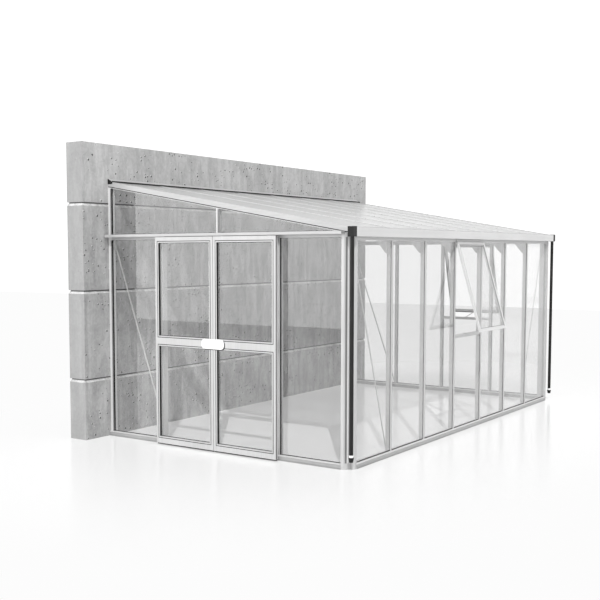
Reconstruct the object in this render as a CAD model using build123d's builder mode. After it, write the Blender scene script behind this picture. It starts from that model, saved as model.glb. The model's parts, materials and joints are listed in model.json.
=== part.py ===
from build123d import *
from math import atan2, cos, degrees, radians, sin, tan
import os

# Lean-to greenhouse on a free-standing concrete wall.
# +X runs along the wall, +Y towards it, +Z up. The doors are in the -X gable.
# The origin is under the centre of the whole object.

# Bays and overall sizes
bay_width = 735.0            # between bar centres, along the wall and across the gables
long_bays = 7
gable_bays = 4
end_allowance = 90.0         # sill outer face to the first bar centre
wall_allowance = 30.0        # wall face to the first gable bar centre
eave_height = 2148.0         # underside of the gutter
roof_pitch = 10.0            # degrees
seat_lift = 18.0             # gutter underside to rafter underside, at the sill's outer face

# Concrete wall
wall_thickness = 234.0
wall_past = 355.0            # past the sill at each end
course_heights = [655.0, 950.0, 935.0, 632.0]
course_groove = 13.0         # height of the recessed joint between two courses
groove_depth = 16.0
groove_slope = 14.0          # depth of the sloped edge below the recess, which sheds the rain
groove_fall = 24.0           # height of that slope

# Aluminium profiles
sill_height = 50.0
sill_width = 90.0
sill_nose = 38.0             # height of the sloped outer nose
sill_foot = 12.0             # height of the foot below that nose
sill_lip = 25.0              # sill outer face to frame outer face
sill_drip = 14.0             # fall of the sloped inner edge
cap_width = 36.0
cap_thickness = 6.0
cap_face = 26.0              # flat between the cap's bevelled edges
web_width = 12.0
bar_depth = 56.0
flange_width = 26.0
flange_thickness = 5.0
beam_drop = 33.0             # gutter underside to the eave and far gable beams' underside
lintel_drop = 8.0            # gutter underside to the underside of the beam over the doors
corner = 116.0               # width of a corner post each way, from the outer sill faces
corner_inset = 8.0           # sill outer face to the post's flat faces
corner_chamfer = 80.0        # the post's slanted outer corner
corner_groove = 44.0         # width of the groove down that slanted face
corner_groove_depth = 14.0
wall_post_width = 45.0
door_post_width = 40.0

# Glazing
glass_thickness = 4.0
glass_clearance = 2.0        # side gap between a pane and the web beside it
pane_recess = 24.0           # outer face to the glass, in the doors and beside them
sheet_thickness = 16.0

# Roof
rafter_depth = 48.0          # below the roof sheets
verge_groove = 8.0           # height of the seal groove along the verge
verge_groove_rise = 8.0      # rafter underside to that groove
verge_groove_depth = 7.0
roof_bar_width = 40.0
roof_web_width = 10.0
roof_cap_thickness = 4.0
roof_overhang = 6.0          # past the outer face of the eave beam, over the gutter
ridge_width = 62.0
ridge_height = 28.0
ridge_wall = 3.0
ridge_overhang = 60.0
seal_thickness = 6.0
seal_height = 14.0

# Gutter and downpipes
gutter_reach = 35.0          # past the outer face of the sill
gutter_height = 82.0
gutter_wall = 3.0
gutter_bead = 7.0            # rolled edge along the gutter's top
gutter_clearance = 8.0       # below the roof, at the gutter's back
outlet_reach = 38.0          # outlet box past the sill end
outlet_length = 60.0
outlet_height = 92.0
outlet_drop = 3.0            # outlet bottom below the gutter
pipe_radius = 19.0
pipe_wall = 2.5
pipe_bottom = 151.0
collar_radius = 21.0
collar_height = 21.0
shoe_radius = 26.0
shoe_mouth = 19.0            # the shoe's radius at its bottom
shoe_height = 45.0

# Sliding doors
leaf_width = 757.0
leaf_thickness = 34.0
leaf_bottom = 15.0
leaf_standoff = 20.0         # sill outer face to leaf inner face
stile_width = 45.0
top_rail = 58.0
bottom_rail = 72.0
mid_rail_height = 106.0
mid_rail_centre = 1091.0
meeting_gap = 6.0
bead_width = 14.0            # glazing bead round each door pane
bead_groove = 5.0            # groove outside the bead
bead_groove_depth = 4.0
handle_length = 138.0
handle_height = 100.0
handle_depth = 12.0
handle_corner = 40.0
handle_gap = 6.0
track_height = 28.0
track_wall = 3.0
track_clearance = 7.0        # leaf top to track underside
track_rise = 50.0            # gutter underside to the track's top
track_from_wall = 20.0
track_cap = 4.0
ledge_width = 20.0
wheel_radius = 8.0
wheel_width = 14.0
wheel_inset = 90.0           # wheel centre from the leaf's edge
hanger_width = 30.0
hanger_thickness = 4.0
hanger_gap = 6.0             # hanger plate to the ledge's edge
running_gap = 0.3

# Vents
vent_angle = 16.2
sash_length = 1018.0
sash_border = 40.0
sash_thickness = 22.0
sash_bead = 12.0             # stepped-down inner edge of the sash
sash_step = 6.0
transom_height = 34.0
closing_gap = 6.0            # transom top to the bottom of the closed sash
hinge_drop = 6.0             # hinge line below the beam
stay_width = 14.0
stay_thickness = 4.0

# Braces and gussets
brace_width = 16.0
brace_thickness = 4.0
gusset_leg = 185.0
gusset_tip = 22.0            # clipped ends of a gusset
gusset_thickness = 4.0

# Positions that follow
house_length = bay_width * long_bays + 2 * end_allowance
house_depth = bay_width * gable_bays + end_allowance + wall_allowance
wall_height = sum(course_heights)
slope = radians(roof_pitch)
rafter_seat = eave_height + seat_lift
x_right = house_length / 2
x_left = -x_right
vent_reach = (sash_length * sin(radians(vent_angle))
              + sash_thickness * cos(radians(vent_angle)) - sill_lip)
y_wall = (wall_thickness + house_depth + vent_reach) / 2 - wall_thickness
y_front = y_wall - house_depth
frame_left = x_left + sill_lip
frame_right = x_right - sill_lip
frame_front = y_front + sill_lip
inner_front = frame_front + bar_depth
inner_left = frame_left + bar_depth
inner_right = frame_right - bar_depth
beam_bottom = eave_height - beam_drop
lintel_bottom = eave_height - lintel_drop
track_top = eave_height + track_rise
track_bottom = track_top - track_height
leaf_top = track_bottom - track_clearance
bar_xs = [x_left + end_allowance + bay_width * i for i in range(1, long_bays)]
gable_ys = [y_wall - wall_allowance - bay_width * i for i in range(1, gable_bays)]
door_centre = gable_ys[1]
parts = []


def rafter_z(y, lift=0.0):
    """Height of the rafter underside at y, plus a vertical lift."""
    return rafter_seat + (y - y_front) * tan(slope) + lift


def keep(builder, name):
    """Label a finished piece and remember it for export."""
    builder.part.label = name
    parts.append(builder.part)


def span(low, high):
    """Centre and length of a stretch."""
    return (low + high) / 2, high - low


# Concrete wall: cast courses with recessed joints all round
wall_long = house_length + 2 * wall_past
course_foot = 0.0
for number, height in enumerate(course_heights, start=1):
    with BuildPart() as course:
        with BuildSketch(Plane.XY.offset(course_foot)):
            with Locations((0, y_wall + wall_thickness / 2)):
                Rectangle(wall_long, wall_thickness)
        extrude(amount=height)
        if number < len(course_heights):
            with BuildSketch(Plane.XY.offset(course_foot + height - course_groove)):
                with Locations((0, y_wall + wall_thickness / 2)):
                    Rectangle(wall_long, wall_thickness)
                    Rectangle(wall_long - 2 * groove_depth, wall_thickness - 2 * groove_depth,
                              mode=Mode.SUBTRACT)
            extrude(amount=course_groove, mode=Mode.SUBTRACT)
            ledge = course.faces().filter_by(Axis.Z).sort_by(Axis.Z)[-2]
            chamfer(ledge.outer_wire().edges(), length=groove_slope, length2=groove_fall,
                    reference=ledge)
    keep(course, f"wall_course_{number}")
    course_foot += height


# Base sills: a flat foot with a sloped outer nose, between the corner posts
def sill(name, plane, length):
    """Sill profile drawn from its outer face inwards, extruded along the plane's normal."""
    with BuildPart() as profile:
        with BuildSketch(plane):
            Polygon((0, 0), (sill_width, 0), (sill_width, sill_height - sill_drip),
                    (sill_lip + bar_depth, sill_height), (sill_lip, sill_height),
                    (0, sill_nose), (0, sill_foot), (sill_foot / 3, sill_foot * 2 / 3),
                    (sill_foot / 3, sill_foot / 3), (0, sill_foot / 3), align=None)
        extrude(amount=length)
    keep(profile, name)


sill("sill_front", Plane(origin=(x_left + corner, y_front, 0), x_dir=(0, 1, 0),
                         z_dir=(1, 0, 0)), house_length - 2 * corner)
sill("sill_left", Plane(origin=(x_left, y_wall, 0), x_dir=(1, 0, 0), z_dir=(0, -1, 0)),
     house_depth - corner)
sill("sill_right", Plane(origin=(x_right, y_front + corner, 0), x_dir=(-1, 0, 0),
                         z_dir=(0, 1, 0)), house_depth - corner)


def cut_under_roof():
    """Trim the part being built to the plane of the rafter undersides."""
    split(bisect_by=Plane(origin=(0, y_front, rafter_seat), x_dir=(1, 0, 0),
                          z_dir=(0, -sin(slope), cos(slope))), keep=Keep.BOTTOM)


# Corner posts, with a grooved slanted face to the outside
for side, x_corner, inward in (("left", x_left, 1), ("right", x_right, -1)):
    with BuildPart() as post:
        with BuildSketch(Plane.XY):
            face = corner_inset
            outline = [(face, corner), (face, face + corner_chamfer),
                       (face + corner_chamfer, face), (corner, face), (corner, corner)]
            Polygon(*[(x_corner + inward * x, y_front + y) for x, y in outline], align=None)
            middle = face + corner_chamfer / 2
            with Locations(Location((x_corner + inward * middle, y_front + middle, 0),
                                    (0, 0, -45 * inward))):
                Rectangle(corner_groove, 2 * corner_groove_depth, mode=Mode.SUBTRACT)
        extrude(amount=wall_height)
        cut_under_roof()
        # Step back behind the gutter
        with BuildSketch(Plane.XY.offset(eave_height)):
            with Locations((x_corner, y_front)):
                Rectangle(2 * corner, 2 * sill_lip)
        extrude(amount=wall_height, mode=Mode.SUBTRACT)
    keep(post, f"corner_post_{side}")

# Wall posts
for side, face, inward in (("left", frame_left, 1), ("right", frame_right, -1)):
    with BuildPart() as post:
        with BuildSketch(Plane.XY.offset(sill_height)):
            with Locations((face + inward * bar_depth / 2, y_wall - wall_post_width / 2)):
                Rectangle(bar_depth, wall_post_width)
        extrude(amount=wall_height)
        cut_under_roof()
    keep(post, f"wall_post_{side}")


def bar_section(turn):
    """I-shaped glazing bar: outer cap, web and inner flange, from its outer face inwards."""
    with BuildSketch(mode=Mode.PRIVATE) as section:
        Polygon((-cap_width / 2, cap_thickness), (-cap_width / 2, cap_thickness / 2),
                (-cap_face / 2, 0), (cap_face / 2, 0), (cap_width / 2, cap_thickness / 2),
                (cap_width / 2, cap_thickness), align=None)
        with Locations((0, bar_depth / 2)):
            Rectangle(web_width, bar_depth)
        with Locations((0, bar_depth - flange_thickness / 2)):
            Rectangle(flange_width, flange_thickness)
    add(section.sketch, rotation=turn)


# Upright bars of the long front
with BuildPart() as front_bars:
    with BuildSketch(Plane.XY.offset(sill_height)):
        with Locations(*[(x, frame_front) for x in bar_xs]):
            bar_section(0)
    extrude(amount=beam_bottom - sill_height)
keep(front_bars, "front_bars")

def slope_strip(y_low, y_high, lift_low, lift_high):
    """Side outline of a strip along the roof slope, with plumb ends."""
    Polygon((y_low, rafter_z(y_low, lift_low)), (y_high, rafter_z(y_high, lift_low)),
            (y_high, rafter_z(y_high, lift_high)), (y_low, rafter_z(y_low, lift_high)),
            align=None)


# Eave beam, its top cut to the roof slope, and the strip on it that the sheets rest on
with BuildPart() as eave_beam:
    with BuildSketch(Plane.YZ.offset(x_left + corner)):
        Polygon((frame_front, beam_bottom), (inner_front, beam_bottom),
                (inner_front, rafter_z(inner_front)), (frame_front, rafter_z(frame_front)),
                align=None)
    extrude(amount=house_length - 2 * corner)
    with BuildSketch(Plane.YZ.offset(inner_left)):
        slope_strip(frame_front, inner_front, 0, rafter_depth)
    extrude(amount=inner_right - inner_left)
keep(eave_beam, "eave_beam")


# Gable beams, from wall post to corner post
def gable_beam(name, x_low, bottom, top):
    y_mid, y_long = span(y_front + corner, y_wall - wall_post_width)
    with BuildPart() as beam:
        with BuildSketch(Plane.XY.offset(bottom)):
            with Locations((x_low + bar_depth / 2, y_mid)):
                Rectangle(bar_depth, y_long)
        extrude(amount=top - bottom)
        cut_under_roof()
    keep(beam, name)


gable_beam("left_gable_beam", frame_left, lintel_bottom, track_top)
gable_beam("right_gable_beam", inner_right, beam_bottom, eave_height)

# Door posts, from sill to beam
door_post_ys = [gable_ys[0], gable_ys[-1]]
with BuildPart() as door_posts:
    with BuildSketch(Plane.XY.offset(sill_height)):
        with Locations(*[(frame_left + bar_depth / 2, y) for y in door_post_ys]):
            Rectangle(bar_depth, door_post_width)
    extrude(amount=lintel_bottom - sill_height)
keep(door_posts, "door_posts")

# Middle mullion above the doors
with BuildPart() as mullion:
    with BuildSketch(Plane.XY.offset(track_top)):
        with Locations((frame_left, door_centre)):
            bar_section(-90)
    extrude(amount=wall_height)
    cut_under_roof()
keep(mullion, "left_gable_mullion")

# Bars of the far gable, below and above its beam
with BuildPart() as right_bars:
    with BuildSketch(Plane.XY.offset(sill_height)):
        with Locations(*[(frame_right, y) for y in gable_ys]):
            bar_section(90)
    extrude(amount=wall_height)
    cut_under_roof()
    beam_x, beam_deep = span(inner_right, frame_right)
    with BuildSketch(Plane.XY.offset(beam_bottom)):
        with Locations((beam_x, (y_wall + y_front) / 2)):
            Rectangle(beam_deep, house_depth)
    extrude(amount=beam_drop, mode=Mode.SUBTRACT)
keep(right_bars, "right_gable_bars")


roof_end = frame_front - roof_overhang
sheet_top = rafter_depth + sheet_thickness
cap_top = sheet_top + roof_cap_thickness

# Verge rafters, which close the sheet edges, with a groove for the seal in the outer face
with BuildPart() as rafters:
    for x_low in (frame_left, inner_right):
        with BuildSketch(Plane.YZ.offset(x_low)):
            slope_strip(roof_end, y_wall, 0, cap_top)
        extrude(amount=bar_depth)
    for x_low in (frame_left, frame_right - verge_groove_depth):
        with BuildSketch(Plane.YZ.offset(x_low)):
            slope_strip(roof_end, y_wall, verge_groove_rise, verge_groove_rise + verge_groove)
        extrude(amount=verge_groove_depth, mode=Mode.SUBTRACT)
keep(rafters, "rafters")

# Roof bars: a box below the sheets, behind the eave beam, a web between the sheets and a cap
with BuildPart() as roof_bars:
    for x in bar_xs:
        for width, y_low, lift_low, lift_high in (
                (roof_bar_width, inner_front, 0, rafter_depth),
                (roof_web_width, roof_end, rafter_depth, sheet_top),
                (roof_bar_width, roof_end, sheet_top, cap_top)):
            with BuildSketch(Plane.YZ.offset(x - width / 2)):
                slope_strip(y_low, y_wall, lift_low, lift_high)
            extrude(amount=width)
keep(roof_bars, "roof_bars")

# Roof panes, one to a bay
pane_edges = ([inner_left] + [x for x in bar_xs for _ in range(2)] + [inner_right])
with BuildPart() as roof_panes:
    for i in range(long_bays):
        low = pane_edges[2 * i] + (roof_web_width / 2 if i else 0) + glass_clearance
        high = pane_edges[2 * i + 1] - (roof_web_width / 2 if i < long_bays - 1 else 0)
        high -= glass_clearance
        with BuildSketch(Plane.YZ.offset(low)):
            slope_strip(roof_end, y_wall, rafter_depth, sheet_top)
        extrude(amount=high - low)
keep(roof_panes, "roof_panes")

# Ridge profile on the wall, over the roof's top edge, and its dark seal
ridge_foot = rafter_z(y_wall, cap_top)
ridge_long = x_right + ridge_overhang - frame_left
with BuildPart() as ridge:
    with BuildSketch(Plane.YZ.offset(frame_left)):
        Polygon((y_wall, ridge_foot), (y_wall, ridge_foot + ridge_height),
                (y_wall - ridge_wall, ridge_foot + ridge_height),
                (y_wall - ridge_width, rafter_z(y_wall - ridge_width, cap_top + seal_thickness)),
                (y_wall - ridge_width, rafter_z(y_wall - ridge_width, cap_top)), align=None)
    extrude(amount=ridge_long)
keep(ridge, "ridge_profile")

# Gutter: a channel hung on the eave beam, with a rolled edge along its top
gutter_out = y_front - gutter_reach
gutter_end = outlet_length - outlet_reach
gutter_top = eave_height + gutter_height
with BuildPart() as gutter:
    with BuildSketch(Plane.YZ.offset(x_left + gutter_end)):
        back_top = rafter_z(frame_front) - gutter_clearance
        Polygon((gutter_out, eave_height), (frame_front, eave_height), (frame_front, back_top),
                (frame_front - gutter_wall, back_top),
                (frame_front - gutter_wall, eave_height + gutter_wall),
                (gutter_out + gutter_wall, eave_height + gutter_wall),
                (gutter_out + gutter_wall, gutter_top - gutter_bead),
                (gutter_out + gutter_bead, gutter_top - gutter_bead),
                (gutter_out + gutter_bead, gutter_top), (gutter_out, gutter_top), align=None)
    extrude(amount=house_length - 2 * gutter_end)
keep(gutter, "gutter")

# Outlet boxes: they take the gutter's open ends and turn the water down
box_low, box_high = gutter_out - gutter_wall, frame_front
outlet_y, box_wide = span(box_low, box_high)
outlet_xs = [turn * (x_right + outlet_reach - outlet_length / 2) for turn in (-1, 1)]
outlet_bottom = eave_height - outlet_drop
with BuildPart() as outlets:
    with BuildSketch(Plane.XY.offset(outlet_bottom)):
        with Locations(*[(x, outlet_y) for x in outlet_xs]):
            Rectangle(outlet_length, box_wide)
    extrude(amount=outlet_height)
    # Chamber, open to the gutter
    with BuildSketch(Plane.XY.offset(eave_height + gutter_wall)):
        with Locations(*[(x * (x_right - gutter_wall) / x_right, outlet_y) for x in outlet_xs]):
            Rectangle(outlet_length, box_wide - 4 * gutter_wall)
    extrude(amount=outlet_height - outlet_drop - 3 * gutter_wall, mode=Mode.SUBTRACT)
    with BuildSketch(Plane.XY.offset(outlet_bottom)):
        with Locations(*[(x, outlet_y) for x in outlet_xs]):
            Circle(pipe_radius - pipe_wall)
    extrude(amount=outlet_drop + gutter_wall, mode=Mode.SUBTRACT)
keep(outlets, "gutter_outlets")

# Downpipes, the collars at their feet and the tapered shoes
with BuildPart() as downpipes:
    with BuildSketch(Plane.XY.offset(pipe_bottom)):
        with Locations(*[(x, outlet_y) for x in outlet_xs]):
            Circle(pipe_radius)
            Circle(pipe_radius - pipe_wall, mode=Mode.SUBTRACT)
    extrude(amount=outlet_bottom - pipe_bottom)
keep(downpipes, "downpipes")

shoe_top = pipe_bottom - collar_height
with BuildPart() as collars:
    with BuildSketch(Plane.XY.offset(shoe_top)):
        with Locations(*[(x, outlet_y) for x in outlet_xs]):
            Circle(collar_radius)
            Circle(pipe_radius - pipe_wall, mode=Mode.SUBTRACT)
    extrude(amount=collar_height)
keep(collars, "downpipe_collars")

shoe_taper = degrees(atan2(shoe_radius - shoe_mouth, shoe_height))
with BuildPart() as shoes:
    with BuildSketch(Plane.XY.offset(shoe_top)):
        with Locations(*[(x, outlet_y) for x in outlet_xs]):
            Circle(shoe_radius)
    extrude(amount=-shoe_height, taper=shoe_taper)
    with BuildSketch(Plane.XY.offset(shoe_top)):
        with Locations(*[(x, outlet_y) for x in outlet_xs]):
            Circle(pipe_radius - pipe_wall)
    extrude(amount=-shoe_height, mode=Mode.SUBTRACT)
keep(shoes, "downpipe_shoes")

# Ridge seal: a dark strip between the ridge profile's nose and the roof
with BuildPart() as seal:
    with BuildSketch(Plane.YZ.offset(frame_left)):
        seal_out = y_wall - ridge_width
        seal_top = rafter_z(seal_out, cap_top + seal_height)
        Polygon((seal_out, rafter_z(seal_out, cap_top)), (seal_out, seal_top),
                (seal_out - seal_thickness, seal_top),
                (seal_out - seal_thickness, rafter_z(seal_out - seal_thickness, cap_top)),
                align=None)
    extrude(amount=ridge_long)
keep(seal, "ridge_seal")


# Glazing of the front: one pane to a bay, a short one under the vent
def pane_span(low, high, low_edge, high_edge):
    """Stretch of a pane between two webs or posts, less its side clearances."""
    return low + low_edge + glass_clearance, high - high_edge - glass_clearance


web = web_width / 2
vent_bay = long_bays // 2
hinge_z = beam_bottom - hinge_drop
transom_top = hinge_z - sash_length - closing_gap
transom_bottom = transom_top - transom_height
bay_edges = [x_left] + bar_xs + [x_right]
with BuildPart() as front_glass:
    for i in range(long_bays):
        low, high = pane_span(bay_edges[i], bay_edges[i + 1], corner if i == 0 else web,
                              corner if i == long_bays - 1 else web)
        pane_top = transom_bottom if i == vent_bay else beam_bottom
        with BuildSketch(Plane.XZ.offset(-frame_front - cap_thickness)):
            with Locations(((low + high) / 2, (sill_height + pane_top) / 2)):
                Rectangle(high - low, pane_top - sill_height)
        extrude(amount=-glass_thickness)
keep(front_glass, "front_glass")

# Glazing of the near gable: fixed panes beside the doors, sloped ones above the beam
glass_left = frame_left + pane_recess
with BuildPart() as left_glass:
    wall_edge = y_wall - wall_post_width - glass_clearance
    corner_edge = y_front + corner + glass_clearance
    post_half = door_post_width / 2 + glass_clearance
    for y_low, y_high in ((door_post_ys[0] + post_half, wall_edge),
                          (corner_edge, door_post_ys[1] - post_half)):
        with BuildSketch(Plane.YZ.offset(glass_left)):
            with Locations(((y_low + y_high) / 2, (sill_height + lintel_bottom) / 2)):
                Rectangle(y_high - y_low, lintel_bottom - sill_height)
        extrude(amount=glass_thickness)
    for y_low, y_high in ((corner_edge, door_centre - web - glass_clearance),
                          (door_centre + web + glass_clearance, wall_edge)):
        y_tip = max(y_low, y_front + (track_top + glass_clearance - rafter_seat) / tan(slope))
        with BuildSketch(Plane.YZ.offset(glass_left)):
            outline = [(y_tip, track_top), (y_high, track_top), (y_high, rafter_z(y_high))]
            if y_tip == y_low or rafter_z(y_tip) > track_top:
                outline.append((y_tip, rafter_z(y_tip)))
            Polygon(*outline, align=None)
        extrude(amount=glass_thickness)
keep(left_glass, "left_gable_glass")

# Glazing of the far gable, with a short pane under the vent and sloped ones above the beam
glass_right = frame_right - cap_thickness - glass_thickness
gable_edges = [y_front] + sorted(gable_ys) + [y_wall]
with BuildPart() as right_glass:
    for i in range(gable_bays):
        low, high = pane_span(gable_edges[i], gable_edges[i + 1], corner if i == 0 else web,
                              wall_post_width if i == gable_bays - 1 else web)
        pane_top = transom_bottom if i == 1 else beam_bottom
        with BuildSketch(Plane.YZ.offset(glass_right)):
            with Locations(((low + high) / 2, (sill_height + pane_top) / 2)):
                Rectangle(high - low, pane_top - sill_height)
            Polygon((low, eave_height), (high, eave_height), (high, rafter_z(high)),
                    (low, rafter_z(low)), align=None)
        extrude(amount=glass_thickness)
keep(right_glass, "right_gable_glass")

# Top track of the doors: a hood with an outer lip, and a ledge inside for the wheels
leaf_inner = x_left - leaf_standoff
leaf_outer = leaf_inner - leaf_thickness
ledge_top = track_bottom + track_wall
lip_out = leaf_outer - track_wall
hook = leaf_inner + ledge_width
hood = track_top - track_wall
track_end = y_wall - track_from_wall
track_low, track_long = span(door_centre - (track_end - door_centre), track_end)
with BuildPart() as track:
    with BuildSketch(Plane.XZ.offset(-track_end)):
        Polygon((lip_out, track_bottom), (leaf_outer, track_bottom), (leaf_outer, hood),
                (hook, hood), (hook, ledge_top), (leaf_inner, ledge_top),
                (leaf_inner, track_bottom), (hook + track_wall, track_bottom),
                (hook + track_wall, hood), (frame_left, hood), (frame_left, track_top),
                (lip_out, track_top), align=None)
    extrude(amount=track_long)
    # End caps
    for y_cap in (track_end, track_end - track_long + track_cap):
        with BuildSketch(Plane.XZ.offset(-y_cap)):
            with Locations(((lip_out + hook) / 2, (track_bottom + track_top) / 2)):
                Rectangle(hook - lip_out, track_height)
        extrude(amount=track_cap)
keep(track, "door_track")


def opening(low, high):
    """Sketch the clear opening of a door pane, between two heights."""
    with Locations((leaf_mid, (low + high) / 2)):
        Rectangle(leaf_width - 2 * stile_width, high - low)


def bead_ring(low, high):
    """Sketch the groove that sets off the glazing bead round a pane."""
    across = leaf_width - 2 * stile_width + 2 * bead_width
    up = high - low + 2 * bead_width
    with Locations((leaf_mid, (low + high) / 2)):
        Rectangle(across + 2 * bead_groove, up + 2 * bead_groove)
        Rectangle(across, up, mode=Mode.SUBTRACT)


# Door leaves: a frame with a middle rail and grooved beads, hung on two wheels
leaf_z, leaf_tall = span(leaf_bottom, leaf_top)
mid_low = mid_rail_centre - mid_rail_height / 2
mid_high = mid_rail_centre + mid_rail_height / 2
pane_heights = ((leaf_bottom + bottom_rail, mid_low), (mid_high, leaf_top - top_rail))
wheel_z = ledge_top + running_gap + wheel_radius
hanger_face = leaf_inner - hanger_gap
for side, direction in (("left", 1), ("right", -1)):
    leaf_mid = door_centre + direction * (meeting_gap + leaf_width) / 2
    with BuildPart() as leaf:
        with BuildSketch(Plane.YZ.offset(leaf_outer)):
            with Locations((leaf_mid, leaf_z)):
                Rectangle(leaf_width, leaf_tall)
        extrude(amount=leaf_thickness)
        with BuildSketch(Plane.YZ.offset(leaf_outer)):
            for low, high in pane_heights:
                opening(low, high)
        extrude(amount=leaf_thickness, mode=Mode.SUBTRACT)
        for low, high in pane_heights:
            with BuildSketch(Plane.YZ.offset(leaf_outer)):
                bead_ring(low, high)
            extrude(amount=bead_groove_depth, mode=Mode.SUBTRACT)
        # Hanger plates and their wheels
        for end in (-1, 1):
            wheel_y = leaf_mid + end * (leaf_width / 2 - wheel_inset)
            with BuildSketch(Plane.YZ.offset(hanger_face - hanger_thickness)):
                with Locations((wheel_y, (leaf_top + wheel_z) / 2)):
                    Rectangle(hanger_width, wheel_z - leaf_top)
                with Locations((wheel_y, wheel_z)):
                    Circle(wheel_radius)
            extrude(amount=hanger_thickness)
            with BuildSketch(Plane.YZ.offset(hanger_face)):
                with Locations((wheel_y, wheel_z)):
                    Circle(wheel_radius)
            extrude(amount=wheel_width)
    keep(leaf, f"door_leaf_{side}")
    with BuildPart() as pane:
        with BuildSketch(Plane.YZ.offset(leaf_outer + pane_recess)):
            for low, high in pane_heights:
                opening(low, high)
        extrude(amount=glass_thickness)
    keep(pane, f"door_glass_{side}")
    # Half of the handle plate, rounded at its far end
    handle_mid = door_centre + direction * (handle_gap + handle_length) / 2
    with BuildPart() as handle:
        with BuildSketch(Plane.YZ.offset(leaf_outer - handle_depth)) as plate:
            with Locations((handle_mid, mid_rail_centre)):
                Rectangle(handle_length, handle_height)
            ends = plate.vertices().group_by(Axis.X)
            fillet(ends[-1] if direction > 0 else ends[0], radius=handle_corner)
        extrude(amount=handle_depth)
        fillet(handle.faces().sort_by(Axis.X)[0].edges(), radius=handle_depth / 3)
    keep(handle, f"door_handle_{side}")

# Vent transoms, between the bars beside each vent
front_low = bar_xs[vent_bay - 1] + flange_width / 2
front_high = bar_xs[vent_bay] - flange_width / 2
right_low = gable_ys[-1] + flange_width / 2
right_high = gable_ys[-2] - flange_width / 2
with BuildPart() as transoms:
    transom_x, transom_long = span(front_low, front_high)
    transom_y, transom_wide = span(right_low, right_high)
    with BuildSketch(Plane.XY.offset(transom_bottom)):
        with Locations((transom_x, (frame_front + inner_front) / 2 + cap_thickness / 2)):
            Rectangle(transom_long, bar_depth - cap_thickness)
        with Locations(((inner_right + frame_right) / 2 - cap_thickness / 2, transom_y)):
            Rectangle(bar_depth - cap_thickness, transom_wide)
    extrude(amount=transom_height)
keep(transoms, "vent_transoms")


# Vents: each sash is drawn on its own tilted plane, hung below the beam
tilt = radians(vent_angle)
front_plane = Plane(origin=((front_low + front_high) / 2, frame_front, hinge_z),
                    x_dir=(1, 0, 0), z_dir=(0, -cos(tilt), sin(tilt)))
right_plane = Plane(origin=(frame_right, (right_low + right_high) / 2, hinge_z),
                    x_dir=(0, 1, 0), z_dir=(cos(tilt), 0, sin(tilt)))
for name, plane in (("front", front_plane), ("right", right_plane)):
    with BuildPart() as sash:
        with BuildSketch(plane):
            with Locations((0, -sash_length / 2)):
                Rectangle(bay_width, sash_length)
                Rectangle(bay_width - 2 * sash_border, sash_length - 2 * sash_border,
                          mode=Mode.SUBTRACT)
        extrude(amount=sash_thickness)
        # Step down to the glazing bead
        with BuildSketch(plane.offset(sash_thickness - sash_step)):
            with Locations((0, -sash_length / 2)):
                Rectangle(bay_width - 2 * (sash_border - sash_bead),
                          sash_length - 2 * (sash_border - sash_bead))
        extrude(amount=sash_step, mode=Mode.SUBTRACT)
    keep(sash, f"vent_sash_{name}")

with BuildPart() as vent_glass:
    for plane in (front_plane, right_plane):
        with BuildSketch(plane.offset(sash_bead - sash_step)):
            with Locations((0, -sash_length / 2)):
                Rectangle(bay_width - 2 * sash_border, sash_length - 2 * sash_border)
        extrude(amount=glass_thickness)
keep(vent_glass, "vent_glass")

# Vent stays: flat bars from the transom's top to the sash's bottom rail
stay_rise = sash_border / 2
sash_out = (sash_length - stay_rise) * sin(tilt)
sash_foot = hinge_z - (sash_length - stay_rise) * cos(tilt)
with BuildPart() as stays:
    with BuildSketch(Plane.YZ.offset((front_low + front_high) / 2 - stay_width / 2)):
        Polygon((frame_front + cap_thickness, transom_top), (inner_front, transom_top),
                (inner_front, transom_top + stay_thickness),
                (frame_front + cap_thickness, transom_top + stay_thickness),
                (frame_front - sash_out, sash_foot),
                (frame_front - sash_out, sash_foot - stay_thickness),
                align=None)
    extrude(amount=stay_width)
    with BuildSketch(Plane.XZ.offset(-(right_low + right_high) / 2 - stay_width / 2)):
        Polygon((frame_right - cap_thickness, transom_top), (inner_right, transom_top),
                (inner_right, transom_top + stay_thickness),
                (frame_right - cap_thickness, transom_top + stay_thickness),
                (frame_right + sash_out, sash_foot),
                (frame_right + sash_out, sash_foot - stay_thickness),
                align=None)
    extrude(amount=stay_width)
keep(stays, "vent_stays")


# Diagonal braces, flat on the inner faces of the frame
brace_foot = sill_height + brace_width
brace_inset = brace_width      # top end of a front brace past the corner post
front_inner = Plane(origin=(0, inner_front + brace_thickness, 0), x_dir=(1, 0, 0),
                    z_dir=(0, -1, 0))
brace_lines = [(front_inner, x_left + corner + brace_inset, bar_xs[0], beam_bottom),
               (front_inner, x_right - corner - brace_inset, bar_xs[-1], beam_bottom),
               (Plane.YZ.offset(inner_left), y_wall - wall_post_width / 2, gable_ys[0],
                lintel_bottom),
               (Plane.YZ.offset(inner_right - brace_thickness), y_wall - wall_post_width / 2,
                gable_ys[0], beam_bottom)]
with BuildPart() as braces:
    for plane, top_end, foot_end, beam_foot in brace_lines:
        brace_top = beam_foot + brace_width / 2
        across = foot_end - top_end
        drop = brace_foot - brace_top
        middle = Location(((top_end + foot_end) / 2, (brace_top + brace_foot) / 2, 0),
                          (0, 0, degrees(atan2(drop, across))))
        with BuildSketch(plane):
            with Locations(middle):
                Rectangle((across ** 2 + drop ** 2) ** 0.5, brace_width)
        extrude(amount=brace_thickness)
keep(braces, "braces")

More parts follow.
